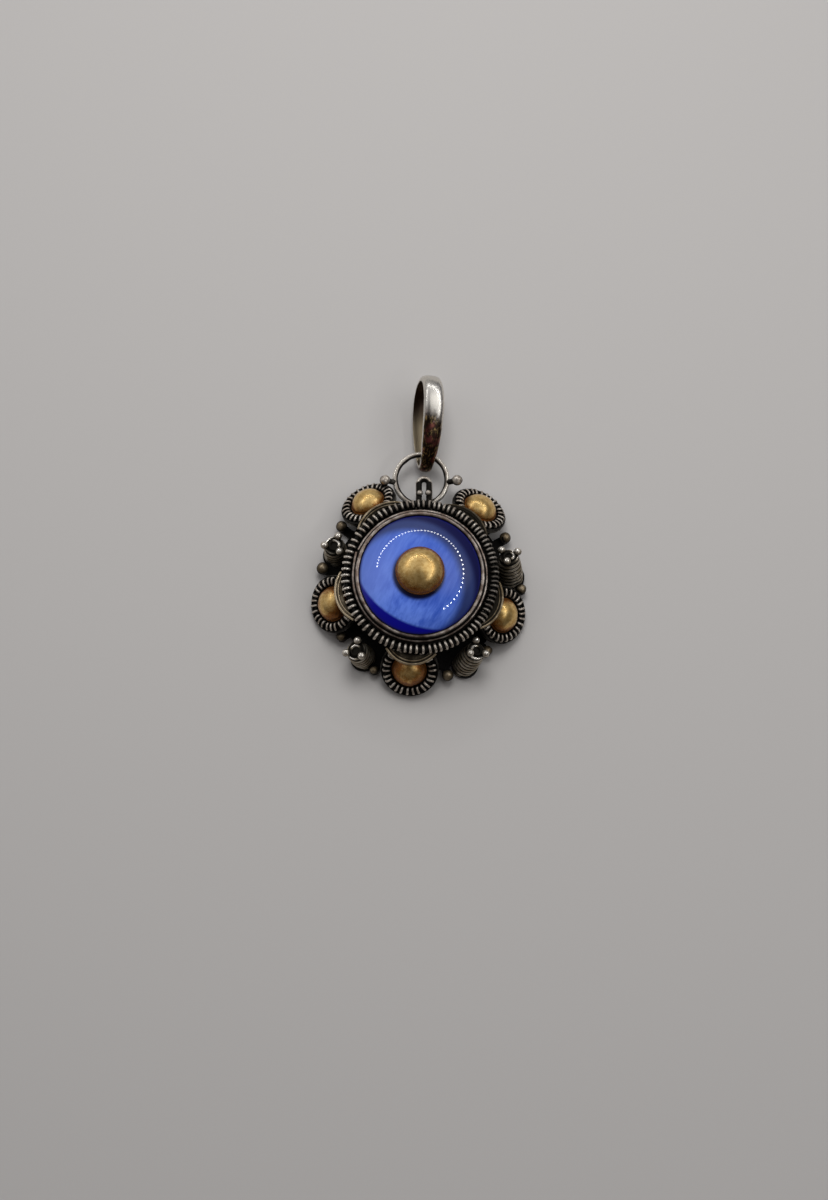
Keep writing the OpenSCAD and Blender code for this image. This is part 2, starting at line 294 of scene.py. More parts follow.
# %% [markdown]
# Shader maths as plain expressions
#
# A finish is mostly arithmetic on masks: how open a place is, how far it is from an edge, how the
# tarnish is scattered. Wrapping a socket in a small class lets Python's own operators add the Math
# nodes, so that the formula can be read. Every other node comes from one method, add.

# %% Value
class Value:
    """A socket that Python's operators work on."""

    def __init__(self, nodes, socket):
        self.nodes = nodes
        self.socket = socket

    def maths(self, operation, *terms):
        numbered = dict(enumerate(terms))
        return self.nodes.add("ShaderNodeMath", {"operation": operation}, numbered)

    def __add__(self, other):
        return self.maths("ADD", self, other)

    def __sub__(self, other):
        return self.maths("SUBTRACT", self, other)

    def __rsub__(self, other):
        return self.maths("SUBTRACT", other, self)

    def __mul__(self, other):
        return self.maths("MULTIPLY", self, other)

    __radd__ = __add__
    __rmul__ = __mul__

    def ramp(self, low, high):
        """0 below low, 1 above high, and a soft step between; low may be the larger one."""
        return self.nodes.add(
            "ShaderNodeMapRange", {"interpolation_type": "SMOOTHSTEP"},
            {"Value": self, "From Min": low, "From Max": high})


# %% Nodes
class Nodes:
    """A node tree that grows through one method."""

    def __init__(self, tree):
        self.tree = tree

    def add(self, kind, settings=None, inputs=None, output=0):
        node = self.tree.nodes.new(kind)
        for label, value in (settings or {}).items():
            if label == "stops":
                self.set_stops(node.color_ramp.elements, value)
            else:
                setattr(node, label, value)
        for label, value in (inputs or {}).items():
            self.join(value, node.inputs[label])
        return Value(self, node.outputs[output])

    def set_stops(self, elements, stops):
        while len(elements) < len(stops):
            elements.new(0.5)
        for element, (position, colour) in zip(elements, stops):
            element.position = position
            element.color = (*colour, 1)

    def join(self, value, socket):
        if isinstance(value, Value):
            self.tree.links.new(value.socket, socket)
        else:
            socket.default_value = value

    def mix(self, share, first, second, blend="MIX"):
        """A colour between two colours; each is a Value or (red, green, blue)."""
        full = [c if isinstance(c, Value) else (*c, 1) for c in (first, second)]
        return self.add("ShaderNodeMix", {"data_type": "RGBA", "blend_type": blend},
                        {"Factor": share, 6: full[0], 7: full[1]}, output=2)


# %% Finish
class Finish(Nodes):
    """A material, its Principled shader and the nodes that feed it."""

    def __init__(self, name, **settings):
        self.material = bpy.data.materials.new(name)
        self.material.use_nodes = True
        super().__init__(self.material.node_tree)
        self.shader = self.tree.nodes["Principled BSDF"]
        for label, value in settings.items():
            self.feed(label.replace("_", " ").title().replace("Ior", "IOR"), value)
        self.place = self.add("ShaderNodeTexCoord", output="Object")

    def feed(self, label, value):
        self.join(value, self.shader.inputs[label])

    def vertex_shine(self):
        return self.add("ShaderNodeAttribute", {"attribute_name": SHINE}, output="Fac")

    def grain(self, size_mm, detail=3, roughness=0.5, place=None):
        """Noise whose features are about this size."""
        return self.add(
            "ShaderNodeTexNoise", {},
            {"Vector": place or self.place, "Scale": 1 / (size_mm * MM), "Detail": detail,
             "Roughness": roughness}, output="Fac")

    def stretched(self, degrees, along, across):
        """Coordinates turned in the XY plane and stretched, for scratches and streaks."""
        spin = (0, 0, math.radians(-degrees))
        aligned = self.add("ShaderNodeMapping", {}, {"Vector": self.place, "Rotation": spin})
        return self.add("ShaderNodeMapping", {},
                        {"Vector": aligned, "Scale": (1 / along, 1 / across, 1 / across)})

    def bump(self, height, depth_mm):
        self.feed("Normal", self.add("ShaderNodeBump", {},
                                     {"Height": height, "Strength": 1.0,
                                      "Distance": depth_mm * MM}, output="Normal"))


print("Python's operators now add nodes")

# %% [markdown]
# Old silver
#
# The wirework was blackened and then rubbed, so its ridges are a warm light grey and its recesses
# nearly black. Two masks decide between them: the shine layer, and an ambient occlusion node that
# looks half a millimetre round each place. Soft blotches break the edge between the two, and a very
# fine bump gives the surface the pits and hair scratches of worn silver.

# %% Old silver finishes
def old_silver(name, bright, worn, black, reach_mm=0.55, darkest=0.42, lightest=0.92,
               polish=0.33, polish_and_highlight_tone=(0.82, 0.77, 0.69)):
    """The last tone is for places with a shine above 1, polished metal and painted highlights alike;
    polish is the rubbed roughness.
    """
    silver = Finish(name, metallic=0.82)
    shine = silver.vertex_shine()
    open_air = silver.add("ShaderNodeAmbientOcclusion", {"samples": 8},
                          {"Distance": reach_mm * MM}, output="AO")
    blotch = silver.grain(0.9, detail=4, roughness=0.6)
    speck = silver.grain(0.12, roughness=0.6)
    reached = open_air * shine + (blotch - 0.5) * 0.35 + (speck - 0.5) * 0.2
    clean_and_lit = reached.ramp(darkest, lightest)
    # A shine above 1 gives the lighter polished tone, which also serves as a painted highlight
    polish_and_highlight = shine.ramp(1.0, 1.5) * clean_and_lit
    tone = silver.mix(blotch.ramp(0.38, 0.66), worn, bright)
    tone = silver.mix(polish_and_highlight, tone, polish_and_highlight_tone)
    silver.feed("Base Color", silver.mix(clean_and_lit, black, tone))
    silver.feed("Roughness", 0.62 - clean_and_lit * (0.62 - polish) - polish_and_highlight * 0.12 + (speck - 0.5) * 0.15)
    scratch = silver.grain(0.05, detail=2, place=silver.stretched(35, 6.0, 1.0))
    silver.bump(speck * 0.7 + scratch * 0.3, 0.012)
    return silver.material


silver = old_silver("old_silver", (0.70, 0.64, 0.56), (0.40, 0.34, 0.28), (0.014, 0.012, 0.010))
lip_silver = old_silver("lip_silver", (0.53, 0.465, 0.41), (0.26, 0.19, 0.15),
                        (0.018, 0.014, 0.012), reach_mm=0.3, darkest=0.2, lightest=0.75,
                        polish=0.34)
dark_silver = old_silver("black_silver", (0.24, 0.22, 0.19), (0.09, 0.08, 0.065),
                         (0.010, 0.009, 0.008), reach_mm=0.9, darkest=0.5, lightest=1.1)
stained_silver = old_silver("stained_silver", (0.46, 0.37, 0.25), (0.22, 0.16, 0.09),
                            (0.014, 0.011, 0.007), darkest=0.40, lightest=1.1,
                            polish_and_highlight_tone=(0.60, 0.49, 0.33))
turret_silver = old_silver("turret_silver", (0.50, 0.45, 0.37), (0.25, 0.20, 0.13),
                           (0.014, 0.012, 0.009), darkest=0.4, lightest=1.0, polish=0.3)
print("five old silvers ready")


# %% Bright silver
def bright_silver(name):
    """The bail: a newer, polished piece, with a brown and golden tarnish where its shine falls, and a
    painted reddish and black reflection of the dark near side there.
    """
    chrome = Finish(name, metallic=1.0)
    shine = chrome.vertex_shine()
    cloud = chrome.grain(1.1, detail=4, roughness=0.6)
    flake = chrome.grain(0.3, roughness=0.6)
    hair = chrome.grain(0.07, detail=2, place=chrome.stretched(84, 14.0, 1.0))
    tone = chrome.mix(cloud, (0.84, 0.81, 0.76), (0.64, 0.60, 0.53))
    fleck = chrome.grain(0.2, roughness=0.6, place=chrome.stretched(78, 3.0, 1.0))
    # Tarnish, with a painted reddish and black reflection, where the shine is low
    tarnish_and_dark_reflection = chrome.mix(fleck.ramp(0.50, 0.70), (0.045, 0.03, 0.022), (0.52, 0.36, 0.15))
    tarnish_and_dark_reflection = chrome.mix(cloud.ramp(0.47, 0.70), tarnish_and_dark_reflection, (0.30, 0.085, 0.08))
    clean_and_lit = (shine + (cloud - 0.5) * 0.5 + (flake - 0.5) * 0.3).ramp(0.30, 0.66)
    outside = chrome.mix(clean_and_lit, tarnish_and_dark_reflection, tone)
    inside = chrome.mix(shine.ramp(-1.0, -0.5), (0.07, 0.045, 0.035), (0.33, 0.27, 0.18))
    chrome.feed("Base Color", chrome.mix(shine.ramp(-0.3, -0.1), inside, outside))
    edge = shine.ramp(1.0, 1.6)
    chrome.feed("Roughness", 0.34 - clean_and_lit * 0.07 + edge * 0.15 + (hair - 0.5) * 0.12)
    chrome.bump(hair * 0.6 + chrome.grain(0.25) * 0.4, 0.006)
    return chrome.material


bail_silver = bright_silver("bail_silver")
print("bright silver has", len(bail_silver.node_tree.nodes), "nodes")

# %% [markdown]
# Brass
#
# The domes are thin pressed brass: a matt gold with a soft sheen, fine scratches and small pits,
# and an orange-brown stain that has gathered low on each dome and at its edge. The shine layer
# holds the height on the dome, so the stain follows the form of each one.

# %% Brass finish
def old_brass(name):
    brass = Finish(name, metallic=0.82, coat_roughness=0.16, coat_weight=0.12)
    high = brass.vertex_shine()
    cloud = brass.grain(1.3, detail=4, roughness=0.6)
    mottle = brass.grain(0.38, detail=4, roughness=0.7)
    speck = brass.grain(0.09, roughness=0.65)
    level = high + (cloud - 0.5) * 0.9 + (mottle - 0.5) * 0.5
    gold = brass.mix(mottle.ramp(0.36, 0.62), (0.59, 0.36, 0.11), (0.78, 0.54, 0.21))
    stained = brass.mix(level.ramp(0.06, 0.62), (0.35, 0.12, 0.013), gold)
    dirt = (speck + (mottle - 0.5) * 0.3 + (1 - level) * 0.3).ramp(0.70, 0.86)
    brass.feed("Base Color", brass.mix(dirt * 0.8, stained, (0.09, 0.04, 0.015)))
    brass.feed("Roughness", 0.29 + (1 - level.ramp(0.0, 0.7)) * 0.16 + (speck - 0.5) * 0.08)
    scratch = brass.grain(0.06, detail=2, place=brass.stretched(20, 8.0, 1.0))
    brass.bump(speck * 0.35 + scratch * 0.3 + cloud * 0.6, 0.006)
    return brass.material


brass = old_brass("old_brass")
print("brass has", len(brass.node_tree.nodes), "nodes")

# %% [markdown]
# The stone
#
# It is a glass cabochon over a streaked blue ground. The streaks run at about 62 degrees, the far
# side goes down into navy, and a thin crescent of pure dark blue lies along the lower left edge,
# where the glass is thickest over its dark foot. Real refraction would cost render time and would
# be lost in other viewers, so the three are painted from the place on the stone, under a hard clear
# coat that gives the highlights. The navy is painted shade and the crescent a painted refraction.
# Painted shade also lies at the top, round the boss, in the gap under it and under the lip, and a
# painted pale reflection lies on the left. Places are in stone radii from its middle.

# %% Stone finish
stone_low, stone_high = box_mm("stone")
GIRDLE_R = (stone_high.x - stone_low.x) / 2
FACE_R = GIRDLE_R - 0.17
STREAK_ANGLE = 62
CRESCENT_FROM = (0.6 * math.cos(math.radians(59)), 0.6 * math.sin(math.radians(59)))
# A row of painted light and shade: a point, the distances from it where the layer starts and is full,
# its share, its tone
STONE_PAINTED_LIGHT_LAYERS = [
    # A painted pale reflection at the left, painted shade at the top and round the boss, and a
    # painted shadow in the gap below it
    ((-0.95, 0.1), (0.95, 0.3), 0.5, (0.24, 0.36, 0.93)),
    ((-0.1, -1.6), (1.0, 2.2), 0.45, (0.03, 0.08, 0.38)),
    ((0.12, -0.05), (0.62, 0.40), 0.45, (0.045, 0.10, 0.52)),
    ((-0.02, -0.035), (0.47, 0.40), 1.0, (0.004, 0.006, 0.05)),
    # The far side goes through a painted haze into navy: painted shade
    ((-0.25, -0.22), (0.50, 0.95), 0.3, (0.045, 0.10, 0.40)),
    ((-0.25, -0.22), (0.85, 1.03), 0.92, (0.023, 0.034, 0.115)),
    ((-0.25, -0.22), (1.09, 1.21), 1.0, (0.002, 0.003, 0.05)),
    # The crescent at the lower left, a painted refraction, and painted shade at the rim under the lip
    (CRESCENT_FROM, (1.42, 1.47), 1.0, (0.0, 0.001, 0.27)),
    ((0, 0), (0.955, 1.0), 0.75, (0.004, 0.006, 0.10)),
]


def blue_glass(name):
    glass = Finish(name, roughness=0.4, specular_ior_level=0.0, coat_weight=1.0,
                   coat_roughness=0.015, coat_ior=1.5)
    unit = glass.add("ShaderNodeMapping", {},
                     {"Vector": glass.place, "Scale": (1 / (FACE_R * MM),) * 2 + (0,)})

    def streaks(size_mm, along):
        return glass.grain(size_mm, roughness=0.55,
                           place=glass.stretched(STREAK_ANGLE, along, 1.0))

    # The ground: broad and fine streaks in a soft cloud
    broad = streaks(1.9, 5.0)
    fine = streaks(0.34, 9.0)
    cloud = glass.grain(3.4, detail=2)
    lightness = (broad - 0.5) * 1.3 + (fine - 0.5) * 1.0 + (cloud - 0.5) * 0.8 + 0.5
    tone = glass.mix(lightness.ramp(0.15, 0.9), (0.045, 0.125, 0.68), (0.155, 0.295, 0.97))
    # The painted reflection, shade and refraction are laid over the streaks
    for point, (start, full), share, paint in STONE_PAINTED_LIGHT_LAYERS:
        away = glass.add("ShaderNodeVectorMath", {"operation": "DISTANCE"},
                         {0: unit, 1: (*point, 0)}, output="Value")
        tone = glass.mix(away.ramp(start, full) * share, tone, paint)
    glass.feed("Base Color", tone)
    return glass.material


blue_stone = blue_glass("blue_glass")
print("stone is", round(2 * GIRDLE_R, 2), "mm across")

# %% [markdown]
# The stone and its boss
#
# A cabochon is a low cap of a sphere on a straight girdle. A sphere cut by a plane gives the cap,
# and its edge loop is drawn down to make the girdle. The brass boss is made the same way, with a
# thin flange that the maker pressed down on the glass.

# %% Caps
def cap_sphere_r(base_r, rise):
    """Radius of the sphere whose cap is this wide and this high."""
    return (base_r * base_r + rise * rise) / (2 * rise)


def cap(base_r, rise, rings=96):
    """The cap of a sphere, open below, its edge at z = 0."""
    sphere_r = cap_sphere_r(base_r, rise)
    return cut_below(placed(ball(sphere_r, rings), moved(0, 0, rise - sphere_r)), 0)


def open_edges(shape):
    return [e for e in shape.edges if len(e.link_faces) == 1]


def drawn_out(shape, steps):
    """Draws the open edge through (radius, height) steps, and closes it below."""
    for radius, height in steps:
        grown = bmesh.ops.extrude_edge_only(shape, edges=open_edges(shape))["geom"]
        for vert in (g for g in grown if isinstance(g, bmesh.types.BMVert)):
            flat = from_axis(vert.co)
            vert.co = (vert.co.x * radius / flat, vert.co.y * radius / flat, height)
    bmesh.ops.contextual_create(shape, geom=open_edges(shape))
    bmesh.ops.recalc_face_normals(shape, faces=shape.faces)
    return shape


# %% The stone
STONE_RISE = 1.9
GIRDLE_Z = 5.68
face_ball_r = cap_sphere_r(FACE_R, STONE_RISE)
shoulder_z = stone_high.z - STONE_RISE
stone_shape = placed(cap(FACE_R, STONE_RISE), moved(0, 0, shoulder_z))
drawn_out(stone_shape, [(FACE_R, GIRDLE_Z), (GIRDLE_R, GIRDLE_Z), (GIRDLE_R, stone_low.z)])
finished("cabochon", stone_shape, blue_stone, "blue_glass", "stone")
print("its face is part of a ball", round(2 * face_ball_r, 1), "mm across")

# %% Domes, and the boss
DOME_FULLNESS = 0.45
EDGE_LEVEL, TOP_LEVEL = 0.1, 1.05
FLANGE_EDGE = 0.02


def dome(radius, rise, flange, foot, lower, stain=0.0, near=(0, -1), near_loss=0.3):
    """A pressed dome: a full cap, a short foot and a thin flange; its shine is its height.

    Its form lies between a cap of a sphere and half an ellipsoid, whose edge is upright. It is
    duller on its near side, and stain takes shine off the whole dome.
    """
    cap_r = radius - flange
    shape = cap(cap_r, rise, rings=64)
    sphere_r = cap_sphere_r(cap_r, rise)
    for vert in shape.verts:
        out = min(1.0, from_axis(vert.co) / cap_r)
        share = math.sin(out * math.pi / 2)
        wider = share / max(out, 0.001)
        round_z = math.sqrt(sphere_r ** 2 - (share * cap_r) ** 2) - sphere_r + rise
        full_z = rise * math.sqrt(1 - share ** 2)
        height = round_z + (full_z - round_z) * DOME_FULLNESS
        vert.co = (vert.co.x * wider, vert.co.y * wider, height)
    drawn_out(shape, [(cap_r, -foot), (radius - FLANGE_EDGE, -foot),
                      (radius, -foot - FLANGE_EDGE), (radius, -lower)])

    def level(co):
        nearness = max(0.0, (co.x * near[0] + co.y * near[1]) / radius)
        own = EDGE_LEVEL + (TOP_LEVEL - EDGE_LEVEL) * co.z / rise
        return clamped(own - near_loss * nearness - stain)

    return set_shine(shape, level)


boss_low, boss_high = box_mm("center_dome")
BOSS_R = (boss_high.x - boss_low.x) / 2
BOSS_RISE = 1.33
BOSS_FLANGE = 0.10
BOSS_FOOT = 0.05
boss_z = boss_high.z - BOSS_RISE
boss_shape = dome(BOSS_R, BOSS_RISE, BOSS_FLANGE, BOSS_FOOT, boss_z - boss_low.z)
placed(hammered(boss_shape, depth=0.02, size=1.3, seed=2), moved(0, 0, boss_z))
finished("boss", boss_shape, brass, "brass", "center_dome")

# %% [markdown]
# The bezel
#
# The cup is turned sheet with a step at its foot. Its lip is rolled over the stone, and a second
# wire lies outside the lip. The wire was cut from a straight length, so it has two ends, which
# stand a little apart on the left side.

# %% Cup and lip
bezel_low, bezel_high = box_mm("bezel")
CUP_R = (bezel_high.x - bezel_low.x) / 2
CUP_HOLE_R = 5.2
CUP_STEP = 0.2
CUP_STEP_H = 0.35
SHOULDER_Z = 5.38
NECK_R = 6.86
SEAT_R = 6.55
LIP_WIRE_R = 0.24
LIP_R = FACE_R + FIT_GAP + LIP_WIRE_R
LIP_Z = bezel_high.z - LIP_WIRE_R
RECESS_SHINE = 0.2
LIP_RIDGE_SHINE = 0.64
cup_z = bezel_low.z
cup = lathe([(CUP_HOLE_R, cup_z), (CUP_R - CUP_STEP, cup_z), (CUP_R - CUP_STEP, cup_z + CUP_STEP_H),
             (CUP_R, cup_z + CUP_STEP_H), (CUP_R, SHOULDER_Z), (NECK_R, SHOULDER_Z + 0.02),
             (NECK_R - 0.06, LIP_Z), (SEAT_R, LIP_Z), (SEAT_R, cup_z + CUP_STEP),
             (CUP_HOLE_R, cup_z + CUP_STEP)], closed=True)
set_shine(softened(cup, offset=0.03), 0.35)
lip = wire_ring(LIP_R, LIP_WIRE_R, steps=160, sides=20)
hammered(lip, depth=0.035, size=0.8, seed=4)
set_shine(lip, lambda co: RECESS_SHINE + LIP_RIDGE_SHINE * max(0.0, co.z / LIP_WIRE_R) ** 3)
placed(lip, moved(0, 0, LIP_Z))
print("lip is", round(2 * LIP_R, 2), "mm across")

# %% Trim wire, and the whole bezel
TRIM_R = 0.17
TRIM_Z = 5.52
TRIM_GAP_AT = 158
TRIM_GAP = 2.4
TRIM_STEPS = 180
START_FLARE, END_FLARE, FLARE_FADE = 0.16, 0.05, 60
TRIM_RIDGE_SHINE = 0.7
trim_points = []
for step in range(TRIM_STEPS + 1):
    share = step / TRIM_STEPS
    angle = math.radians(TRIM_GAP_AT + TRIM_GAP / 2 + share * (360 - TRIM_GAP))
    flare = (START_FLARE * math.exp(-share * FLARE_FADE)
             + END_FLARE * math.exp((share - 1) * FLARE_FADE))
    radius = CUP_R - TRIM_R + flare
    trim_points.append((radius * math.cos(angle), radius * math.sin(angle), TRIM_Z))
trim = hammered(wire_along(trim_points, TRIM_R, sides=16), depth=0.03, size=0.7, seed=5)
set_shine(trim, lambda co: RECESS_SHINE
          + TRIM_RIDGE_SHINE * max(0.0, (co.z - TRIM_Z) / TRIM_R) ** 2)
# The right and near sides of the bezel get painted shade
bezel = painted_side_shade(gathered(cup, lip, trim), right=0.2, near=0.4)
finished("bezel_cup", bezel, lip_silver, "silver", "bezel")

# %% [markdown]
# Wound wire rings
#
# The frame round the stone, and the smaller ones in the petals, are a fine wire wound on a rod,
# bent into a ring and soldered. Such a coil is a helix that follows a circle. No spin makes that,
# so its middle line is worked out point by point, and a bevelled curve turns it into wire. The
# turns are moved a little at random, because they were wound and spaced by hand. Shine is highest
# on the outside of the winding, which is rubbed most, and falls to nothing on its inner side.

# %% A wound ring
SLANT = 1.3
CROWD_AT = 20
SWAY = 0.13
SWELL = 0.05
BRIGHTEST = 1.35
RUB_DEPTH = 1.75


def wound_ring(ring_r, coil_r, wire_r, turns, seed, flat=1.0, crowd=0.0, per_turn=22):
    """flat squeezes the winding's height; crowd sets the turns closer together on the right."""
    chance = random.Random(seed)
    drift = [chance.uniform(-1, 1) for _ in range(turns)]
    swell = [chance.uniform(-1, 1) for _ in range(turns)]
    turn_r = coil_r - wire_r
    turn_h = coil_r * flat - wire_r
    points = []
    for step in range(turns * per_turn):
        turn, share = divmod(step, per_turn)
        share /= per_turn
        following = (turn + 1) % turns
        sway = drift[turn] * (1 - share) + drift[following] * share
        size = 1 + SWELL * (swell[turn] * (1 - share) + swell[following] * share)
        wind = FULL_TURN * share
        upright = SLANT * (math.cos(wind) - 1) / FULL_TURN
        angle = FULL_TURN * (turn + share + upright + SWAY * sway) / turns
        angle -= crowd * math.sin(angle - math.radians(CROWD_AT))
        out = ring_r + turn_r * size * math.cos(wind)
        points.append((out * math.cos(angle), out * math.sin(angle),
                       turn_h * size * math.sin(wind)))

    def how_bright(co):
        wide = (from_axis(co) - ring_r) / coil_r
        from_ring = math.hypot(wide, co.z / (coil_r * flat)) * coil_r
        return clamped((from_ring - coil_r + RUB_DEPTH * wire_r) / wire_r, high=BRIGHTEST)

    return set_shine(wire_along(points, wire_r, closed=True), how_bright)


# %% The main winding
MAIN_RING_R = 7.8
coil_low, coil_high = box_mm("main_coil")
MAIN_COIL_R = (coil_high.z - coil_low.z) / 2
main_z = (coil_high.z + coil_low.z) / 2
MAIN_WIRE_R = 0.15
MAIN_TURNS = 83
winding = wound_ring(MAIN_RING_R, MAIN_COIL_R, MAIN_WIRE_R, MAIN_TURNS, seed=11, crowd=0.15)
# The right, near and far sides of the main winding get painted shade
painted_side_shade(placed(winding, moved(0, 0, main_z)), right=0.56, near=0.27, far=0.42)
finished("main_winding", winding, silver, "silver", "main_coil")
refinished("main_core", dark_silver)

# %% [markdown]
# Petals
#
# Each petal is a round tray that leans outwards under the main ring. It has a wire rim, a wound
# ring and a brass dome on a low step. All five are the same, so one petal is made in its own frame,
# with +X outwards along its tray and +Z out of it, and is put where its coil's solid is. A tilted
# ring has the middle of its box at its own middle, so the box gives the place.

# %% Petal sizes
PETAL_LEANS = (41, 42, 38, 34, 39)
PETAL_R = 3.08
PETAL_RING_R = 2.42
PETAL_COIL_R = 0.46
PETAL_COIL_FLAT = 0.62
PETAL_WIRE_R = 0.13
PETAL_TURNS = 26
PETAL_DOME_R = 1.84
PETAL_DOME_RISE = 1.19
PETAL_FLANGE = 0.08
PETAL_FOOT = 0.04
PETAL_LOWER = 0.12
DOME_STAINS = (0.05, 0.0, 0.15, 0.5, 0.35)
DOME_NEAR_LOSSES = (0.08, 0.08, 0.3, 0.3, 0.3)
RIM_WIRE_R = 0.12
RIM_LIFT = 0.06
STEP_H = 0.22
TRAY_T = 0.35
TRAY_EASE = 0.08
COIL_LIFT = PETAL_COIL_R * PETAL_COIL_FLAT + FIT_GAP
print("a petal is", 2 * PETAL_R, "mm across")


# %% Where a petal is, and its tray
def coil_middle(number):
    """Middle of a petal's coil, and the way to it in degrees."""
    low, high = box_mm(f"petal_coil_{number}")
    middle = (low + high) / 2
    return middle, math.degrees(math.atan2(middle.y, middle.x))


def petal_place(number):
    middle, heading = coil_middle(number)
    return (Matrix.Translation(middle) @ turned("Z", heading)
            @ turned("Y", PETAL_LEANS[number - 1]) @ moved(0, 0, -COIL_LIFT))


def near_way(place):
    """The way towards the near side, -Y, in a petal's own plane."""
    own = place.to_3x3().inverted() @ Vector((0, -1, 0))
    return own.xy.normalized()


def tray():
    """A plate with an eased lower edge and a step for the dome, and a wire for its rim."""
    step_r = PETAL_DOME_R - 0.1
    plate = lathe([(0, -TRAY_T), (PETAL_R - TRAY_EASE, -TRAY_T), (PETAL_R, -TRAY_T + TRAY_EASE),
                   (PETAL_R, 0), (step_r, 0), (step_r - 0.02, STEP_H), (0, STEP_H)], steps=96)
    set_shine(plate, lambda co: 0.9 if from_axis(co) > PETAL_R - 0.1 else 0.45)
    rim = placed(wire_ring(PETAL_R - RIM_WIRE_R, RIM_WIRE_R, sides=12), moved(0, 0, RIM_LIFT))
    return gathered(plate, set_shine(rim, 0.65))


# %% The five petals
for number in range(1, 6):
    place = petal_place(number)
    finished(f"petal_tray_{number}", placed(tray(), place), dark_silver, "dark_silver",
             f"petal_plate_{number}")
    winding = wound_ring(PETAL_RING_R, PETAL_COIL_R, PETAL_WIRE_R, PETAL_TURNS, seed=20 + number,
                         flat=PETAL_COIL_FLAT, per_turn=20)
    # Each petal's winding gets painted shade on its right, near and far sides
    painted_side_shade(winding, right=0.3, near=0.35, far=0.3)
    finished(f"petal_winding_{number}", placed(winding, place @ moved(0, 0, COIL_LIFT)), silver,
             "silver", f"petal_coil_{number}")
    small = dome(PETAL_DOME_R, PETAL_DOME_RISE, PETAL_FLANGE, PETAL_FOOT, PETAL_LOWER,
                 DOME_STAINS[number - 1], near_way(place), DOME_NEAR_LOSSES[number - 1])
    hammered(small, depth=0.05, size=1.0, seed=30 + number)
    base = moved(0, 0, STEP_H + PETAL_FOOT + PETAL_LOWER)
    finished(f"petal_boss_{number}", placed(small, place @ base), brass, "brass",
             f"petal_dome_{number}")

# %% [markdown]
# Crescents
#
# Between the main ring and each petal lies a half-moon of sheet with a wire along its edge and a
# finer one inside it. Its outer edge is an arc through the tip and the two corners, and its inner
# edge follows the coil. The two arcs are bridged, and the sheet between them is made thick.

# %% Crescent sizes
MOON_REACHES = (9, 9, 9.1, 9.3, 9.1)
# Each crescent's shift of shine: partly wear, partly painted light and shade
MOON_SHINE_SHIFTS = (0.0, -0.4, 0.0, 0.1, 0.47)
MOON_CHORD = 2.5
MOON_T = 0.15
MOON_WIRES = ((0, 0.13, 1.05), (0.34, 0.08, 0.85))
MOON_WIRE_REACH = 0.985
MOON_STEPS = 40
MOON_SLOPE = 12
MOON_Z = 4.7
MOON_OUTER = MAIN_RING_R + 0.6
MOON_INNER = MOON_OUTER - 0.13
print("the crescents reach to", MOON_REACHES, "mm from the middle")


# %% A crescent
def crescent(reach, worn):
    """In its own frame: +X outwards, flat, at z = 0; worn shifts its shine, partly as wear and partly
    as painted light and shade.

    A row of MOON_WIRES gives how far a wire lies inside the edge, its radius and its shine.
    """
    near = math.sqrt(MOON_OUTER ** 2 - MOON_CHORD ** 2)
    middle = (reach ** 2 - MOON_OUTER ** 2) / (2 * (reach - near))
    arc_r = reach - middle
    sweep = math.acos((MOON_INNER ** 2 - middle ** 2 - arc_r ** 2) / (2 * middle * arc_r))
    reach_y = arc_r * math.sin(sweep)
    inner_sweep = math.asin(reach_y / MOON_INNER)
    plate = blank()
    loops = []
    for points in (arc(arc_r, -sweep, sweep, MOON_STEPS, (middle, 0)),
                   arc(MOON_INNER, -inner_sweep, inner_sweep, MOON_STEPS)):
        chain = [plate.verts.new(point) for point in points]
        loops.append([plate.edges.new(pair) for pair in zip(chain, chain[1:])])
    bmesh.ops.bridge_loops(plate, edges=loops[0] + loops[1])
    bmesh.ops.remove_doubles(plate, verts=plate.verts, dist=1e-4)
    bmesh.ops.solidify(plate, geom=plate.faces[:], thickness=MOON_T)
    middle_z = sum(v.co.z for v in plate.verts) / len(plate.verts)
    placed(plate, moved(0, 0, -middle_z))
    bmesh.ops.recalc_face_normals(plate, faces=plate.faces)
    set_shine(plate, 0.5 + worn / 2)
    wires = []
    half = sweep * MOON_WIRE_REACH
    for inside, wire_r, shine in MOON_WIRES:
        line = arc(arc_r - inside, -half, half, MOON_STEPS, (middle, 0),
                   height=MOON_T / 2 if inside else 0)
        wire = hammered(wire_along(line, wire_r, sides=14), depth=0.02, size=0.6)
        wires.append(set_shine(wire, shine + worn))
    return gathered(plate, *wires)


# %% The five crescents
for number in range(1, 6):
    heading = coil_middle(number)[1]
    place = (turned("Z", heading) @ moved(MOON_INNER, 0, MOON_Z) @ turned("Y", MOON_SLOPE)
             @ moved(-MOON_INNER, 0, 0))
    moon = placed(crescent(MOON_REACHES[number - 1], MOON_SHINE_SHIFTS[number - 1]), place)
    finished(f"half_moon_{number}", moon, stained_silver, "stained_silver", f"crescent_{number}")

# %% [markdown]
# Turrets
#
# A turret is thick wire wound into a short barrel that leans outwards. Its top is a small plate
# with a rolled edge, a crown ring in the middle and three grains near the edge. A helix is a spin
# with a step along its axis, and dvec is that step.

# %% Turret sizes
PLATE_T = 0.5
PLATE_GAP = 0.005
TURRET_R = 1.3
TURRET_TAPER = 0.24
TURRET_LIFT = 0.09
TURRET_SUNK = 0.9
TURRET_WIRE_R = 0.225
TURRET_PITCH = 0.47
TURRET_TURNS = 5
BELOW_PLATE = 0.6
LID_GAP = 0.04
LID_ROLL = 0.2
LID_DISH = 0.06
DARK_SHINE = 0.1
